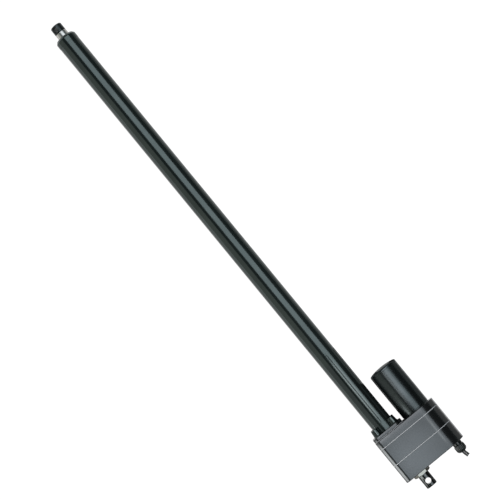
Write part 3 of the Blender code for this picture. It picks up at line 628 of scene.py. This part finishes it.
def make_tube_nose():
    """The coned and rounded end of the tube, with a spigot into it and a pocket for the seal."""
    seat, start, nose = high("cover_tube", "x") + GAP, low("tube_end_cap", "x"), high("tube_end_cap", "x")
    radius, spigot, inner = high("tube_end_cap", "z"), 20.7 * MM, ROD_RADIUS + 2 * GAP
    face, cone, pocket, pocket_radius = 20.4 * MM, 5.0 * MM, nose - 7 * MM, 17.3 * MM
    corners = [(nose, pocket_radius, 0), (nose, face, 1.0 * MM), (nose - cone, radius, 3 * MM)]
    corners += [(seat, radius, 0.1 * MM), (seat, spigot, 0), (start, spigot, 0), (start, inner, 0)]
    corners += [(pocket, inner, 0), (pocket, pocket_radius, 0)]
    mesh = revolve("tube_nose", filleted(corners, 8), segments=128)
    finished("tube_nose", "tube_end_cap", "housing", "anodised", mesh)


def make_wiper():
    """The seal in the nose, with a groove behind the lip that wipes the rod."""
    first, last = low("wiper_seal", "x"), high("wiper_seal", "x")
    outer, inner, groove = high("wiper_seal", "z"), ROD_RADIUS + GAP, 1.1 * MM
    corners = [(last, outer, 0.4 * MM), (first, outer, 0), (first, inner, 0), (last - 3 * MM, inner, 0)]
    corners += [(last - 1.5 * MM, inner + groove, 0.3 * MM), (last, inner, 0.15 * MM)]
    mesh = revolve("wiper_ring", filleted(corners, 3))
    finished("wiper_ring", "wiper_seal", "housing", "seal", mesh)


def make_rod():
    start, end = low("extension_tube", "x"), high("extension_tube", "x")
    bore, edge = 11 * MM, 0.5 * MM
    corners = [(end, ROD_RADIUS, edge), (start, ROD_RADIUS, edge), (start, bore, 0), (end, bore, 0)]
    mesh = revolve("polished_rod", filleted(corners), segments=96)
    finished("polished_rod", "extension_tube", "rod", "bright_steel", mesh)


# ---------------------------------------------------------------- motor


def make_motor_can():
    """The motor's shell, with a shallow groove round its foot."""
    start, end = low("motor_can", "x"), high("motor_can", "x")
    radius, groove = high("motor_can", "z"), 0.5 * MM
    corners = [(end, radius, 0.5 * MM), (start + 3 * MM, radius, 0)]
    corners += [(start + 2.4 * MM, radius - groove, 0), (start + 1.2 * MM, radius - groove, 0)]
    corners += [(start + 0.6 * MM, radius, 0), (start, radius, 0)]
    corners += [(start, MOTOR_BORE, 0), (end, MOTOR_BORE, 0)]
    mesh = revolve("motor_shell", filleted(corners), MOTOR_AXIS, 128)
    finished("motor_shell", "motor_can", "housing", "motor_paint", mesh)


def make_motor_dome():
    """The motor's end: a low dome with a rounded shoulder, and a pocket for the rear bearing."""
    inner, start, top = low("motor_end_cap", "x"), high("motor_can", "x") + GAP, high("motor_end_cap", "x")
    radius, spigot, dome, shoulder = high("motor_can", "z"), MOTOR_BORE - GAP, 125 * MM, 4.2 * MM
    pocket, pocket_end, ring_width, rings = 11.3 * MM, inner + 9 * MM, 2 * MM, 13
    corners = [(top, 0, 0)]
    for reach in (ring_width * step for step in range(1, rings + 1)):
        corners.append((top - dome + math.sqrt(dome**2 - reach**2), reach, 0))
    edge = top - dome + math.sqrt(dome**2 - radius**2)
    corners += [(edge, radius, shoulder), (start, radius, 0.3 * MM), (start, spigot, 0)]
    corners += [(inner, spigot, 0), (inner, pocket, 0), (pocket_end, pocket, 0), (pocket_end, 0, 0)]
    mesh = revolve("motor_dome", filleted(corners, 8), MOTOR_AXIS, 128, ring=False)
    finished("motor_dome", "motor_end_cap", "housing", "motor_paint", mesh, "dome_paint")


# ---------------------------------------------------------------- gland and cable


def make_gland_body():
    """The gland's thread in the cover, its neck against it, and its barrel in the clamping nut."""
    face, neck_start = HOUSING_REAR - GAP, high("gland_nut", "x") + GAP
    start, end, neck = low("gland_body", "x"), high("gland_body", "x"), high("gland_body", "z")
    corners = [(end, GLAND_THREAD, 0.4 * MM), (face, GLAND_THREAD, 0), (face, neck, 0.3 * MM)]
    corners += [(neck_start, neck, 0.9 * MM), (neck_start, GLAND_BARREL, 0), (start, GLAND_BARREL, 0)]
    corners += [(start, GLAND_BORE, 0), (end, GLAND_BORE, 0)]
    mesh = revolve("gland_neck", filleted(corners, 4), GLAND_AXIS, 64)
    finished("gland_neck", "gland_body", "housing", "nylon", mesh)


def make_gland_nut():
    """The clamping nut: domed at its end, with ribs pressed into its side."""
    start, end = low("gland_nut", "x"), high("gland_nut", "x")
    radius, inner_start, inner = high("gland_nut", "z"), start + 2.7 * MM, GLAND_BARREL + GAP
    corners = [(end, radius, 1.0 * MM), (start + 5.2 * MM, radius, 3 * MM)]
    corners += [(start + 1.4 * MM, radius - 3 * MM, 1.5 * MM), (start, radius - 6 * MM, 0.6 * MM)]
    corners += [(start, GLAND_BORE, 0.3 * MM), (inner_start, GLAND_BORE, 0)]
    corners += [(inner_start, inner, 0), (end, inner, 0)]
    mesh = revolve("gland_clamp_nut", filleted(corners, 6), GLAND_AXIS, 144)
    ribs, rib_depth = 14, 0.55 * MM
    for vertex in mesh.vertices:
        y, z = vertex.co.y - GLAND_AXIS[0], vertex.co.z - GLAND_AXIS[1]
        reach = math.hypot(y, z)
        if reach < inner + MM:
            continue
        turn = math.atan2(z, y)
        depth = rib_depth * (0.5 - 0.5 * math.cos(ribs * turn)) ** 3
        vertex.co.y -= y / reach * depth
        vertex.co.z -= z / reach * depth
    finished("gland_clamp_nut", "gland_nut", "housing", "nylon", mesh)


def swept(name, route, radius, sides=32):
    """A round bar along a route of points in a plane of constant z."""
    rings = []
    for i, point in enumerate(route):
        ahead = Vector(route[min(i + 1, len(route) - 1)])
        along = (ahead - Vector(route[max(i - 1, 0)])).normalized()
        across = along.cross(Vector((0, 0, 1))).normalized()
        rise = across.cross(along)
        spokes = [2 * math.pi * k / sides for k in range(sides)]
        rings.append([Vector(point) + radius * (across * math.cos(a) + rise * math.sin(a)) for a in spokes])
    return loft(name, rings, sharp=50)


def make_cable():
    """A short cable, gripped by the gland. Its two cores leave the sheath and are cut off square."""
    y, z = GLAND_AXIS
    sheath, core, core_at = 4.3 * MM, 2.1 * MM, 2.25 * MM
    lean, bend_radius, bend_start, run = math.radians(15), 32 * MM, HOUSING_REAR - 22 * MM, 8 * MM
    bend_steps = 12
    mouth, end = low("gland_nut", "x") + MM, high("cable_stub", "x")
    corners = [(end, 0, 0), (end, sheath, 0.5 * MM), (mouth, sheath, 0.9 * MM), (mouth, 0, 0)]
    mesh = revolve("cable", filleted(corners, 4), GLAND_AXIS, 48, ring=False)
    cable = finished("cable", "cable_stub", "housing", "cable_jacket", mesh)
    for side in (-1, 1):
        radius = bend_radius + side * core_at
        route = [(bend_start + 8 * MM, y + side * core_at, z)]
        for step in range(bend_steps + 1):
            turn = lean * step / bend_steps
            across = y - bend_radius + radius * math.cos(turn)
            route.append((bend_start - radius * math.sin(turn), across, z))
        x, across, z = route[-1]
        route.append((x - run * math.cos(lean), across - run * math.sin(lean), z))
        carve(cable, swept("core", route, core), "UNION")
    resharpen(cable, 50)


# ---------------------------------------------------------------- inner pieces keep their CAD shape


def paint_inner_nodes():
    """Gives each CAD node the material of its slot."""
    slots = {part["node"]: part["material_slot"] for part in RECORD["subparts"]}
    for node, made in NODES.items():
        made.data.materials.clear()
        made.data.materials.append(MATERIALS[slots[node]])


# ---------------------------------------------------------------- stage, lights and camera


FLOOR_LEVEL = low("gear_case", "z") - 0.2 * MM
CARD_LEVEL = FLOOR_LEVEL + 0.1 * MM
NEAR_CARD_LEVEL = -42.08 * MM

# Cards, in metres: name, two (x, y) corners, glow, and the level of those that don't lie on the floor.
CARDS = [
    ("card_beyond_motor", (-3.4, -4.165), (4.6, -0.165), 0.38, None),
    # card_at_rear is a dim sheet under the gland, where the floor lies in shade: painted shade, seen only in
    # the part's reflections.
    ("card_at_rear", (-0.30, -0.165), (0.034, -0.02), 0.12, None),
    ("card_at_rear_left", (-0.30, 0.02), (0.034, 0.30), 0.42, None),
    # A near-black sheet where the floor lies in the shade between tube and motor: painted shade, seen only
    # in reflections.
    ("shade_card_under_motor", (0.145, -0.10), (0.26, -0.005), 0.03, None),
    ("card_beside_tube", (0.15, 0.026), (1.3, 0.25), 0.78, None),
    ("card_past_motor", (0.26, -0.165), (1.3, -0.026), 0.75, None),
    # Dim sheets beside the motor's dome, where the floor lies in shade: painted shade, seen only in
    # reflections.
    ("shade_card_at_dome_left", (0.265, -0.0595), (0.36, -0.03), 0.05, NEAR_CARD_LEVEL),
    ("shade_card_at_dome_right", (0.265, -0.165), (0.36, -0.0995), 0.05, NEAR_CARD_LEVEL),
    ("flag_beyond_motor", (-0.30, -2.5), (0.33, -0.345), 0.0, 0.4),
    ("card_beside_foot", (0.152, 0.03), (0.34, 0.25), 0.45, 0.05),
    ("flag_over_adapter", (-0.12, 0.05), (0.022, 0.25), 0.02, 0.05),
    ("bar_over_tube", (0.17, -0.023), (0.36, -0.0065), 0.0, 0.12),
]


def level_sheet(name, size, location, material_name, inputs):
    """A glowing level square of the stage, which lights the part only by its reflection."""
    solid = bmesh.new()
    bmesh.ops.create_grid(solid, x_segments=1, y_segments=1, size=size / 2)
    mesh = bpy.data.meshes.new(name)
    solid.to_mesh(mesh)
    solid.free()
    sheet = bpy.data.objects.new(name, mesh)
    sheet.location = location
    material, shader = new_material(material_name)
    set_inputs(shader, {"Emission Color": (1, 1, 1, 1), **inputs})
    mesh.materials.append(material)
    bpy.context.scene.collection.objects.link(sheet)
    sheet.visible_diffuse = False
    return sheet


def make_floor():
    """A white floor that the housing lies on."""
    inputs = {"Base Color": (0.1, 0.1, 0.1, 1), "Roughness": 0.9, "Emission Strength": 1.0}
    level_sheet("floor", 60, (0.6, 0, FLOOR_LEVEL), "white_floor", inputs)


def make_card(name, first, last, glow, level):
    """A level card between two corners, seen only in reflections. On the floor unless it has a level."""
    centre = [(a + b) / 2 for a, b in zip(first, last)]
    location = (*centre, CARD_LEVEL if level is None else level)
    matt_black = {"Base Color": (0, 0, 0, 1), "Roughness": 1.0, "Specular IOR Level": 0.0}
    card = level_sheet(name, 1.0, location, name, {**matt_black, "Emission Strength": glow})
    card.scale = (last[0] - first[0], last[1] - first[1], 1.0)
    card.visible_camera = False
    card.visible_shadow = level is not None


def panel(name, towards, distance, size, radiance, color=(1, 1, 1), aim=(0.6, 0, 0)):
    """A rectangular softbox that faces a point, by default the middle of the object."""
    light = bpy.data.lights.new(name, "AREA")
    light.shape = "RECTANGLE"
    light.size, light.size_y = size
    light.energy = radiance * size[0] * size[1] * math.pi
    light.color = color
    made = bpy.data.objects.new(name, light)
    made.location = Vector(aim) + Vector(towards).normalized() * distance
    made.rotation_euler = (-Vector(towards)).to_track_quat("-Z", "Y").to_euler()
    bpy.context.scene.collection.objects.link(made)


def lean(degrees):
    """A direction in the YZ plane, at an angle from +Z towards the motor's side."""
    return (0, -math.sin(math.radians(degrees)), math.cos(math.radians(degrees)))


def make_lights():
    world = bpy.data.worlds.new("studio")
    bpy.context.scene.world = world
    world.use_nodes = True
    shade = world.node_tree.nodes["Background"]
    set_inputs(shade, {"Color": (0.035, 0.055, 0.055, 1), "Strength": 1.0})
    far, near, above = 6.0, 0.43, (0, 0, 1)
    panel("key_softbox", lean(19), far, (9.0, 5.6), 1.9, (0.87, 0.93, 1.0))
    panel("fill_softbox", lean(-66), far, (9.0, 6.8), 0.46, (1.0, 1.0, 0.92))
    panel("side_strip", lean(-68), 0.35, (0.2, 0.34), 3.4, aim=(0.05, 0.03, 0))
    panel("base_strip", above, near, (0.165, 0.075), 3.1, (0.98, 0.95, 0.97), (0.2575, 0.053, 0))
    panel("ridge_strip", above, near, (0.11, 0.07), 1.8, aim=(0.055, -0.20, 0))
    panel("base_key", above, near, (0.165, 0.235), 1.6, (1.0, 0.93, 0.98), (0.2575, -0.1175, 0))


def make_camera():
    """The camera looks down at the middle of the tube, 4 degrees off square, and the tube leans left."""
    tilt, roll, distance = math.radians(4), math.radians(39.4), 4.3
    aim = Vector((0.63486, -0.01802, 0))
    to_camera = Vector((-math.sin(tilt), 0, math.cos(tilt)))
    along = Vector((math.cos(tilt), 0, math.sin(tilt)))
    side = Vector((0, -1, 0))
    right = side * math.cos(roll) - along * math.sin(roll)
    up = side * math.sin(roll) + along * math.cos(roll)
    camera_data = bpy.data.cameras.new("camera")
    camera_data.sensor_width = 36
    camera_data.lens = 144
    camera = bpy.data.objects.new("camera", camera_data)
    axes = Matrix((right, up, to_camera)).transposed().to_4x4()
    camera.matrix_world = Matrix.Translation(aim + to_camera * distance) @ axes
    bpy.context.scene.collection.objects.link(camera)
    bpy.context.scene.camera = camera


paint_inner_nodes()
make_housing()
make_rear_adapter()
make_front_adapter()
make_jam_nut()
make_tube()
make_tube_nose()
make_wiper()
make_rod()
make_motor_can()
make_motor_dome()
make_gland_body()
make_gland_nut()
make_cable()
make_floor()
for card in CARDS:
    make_card(*card)
make_lights()
make_camera()

bpy.context.scene.view_settings.view_transform = "Standard"
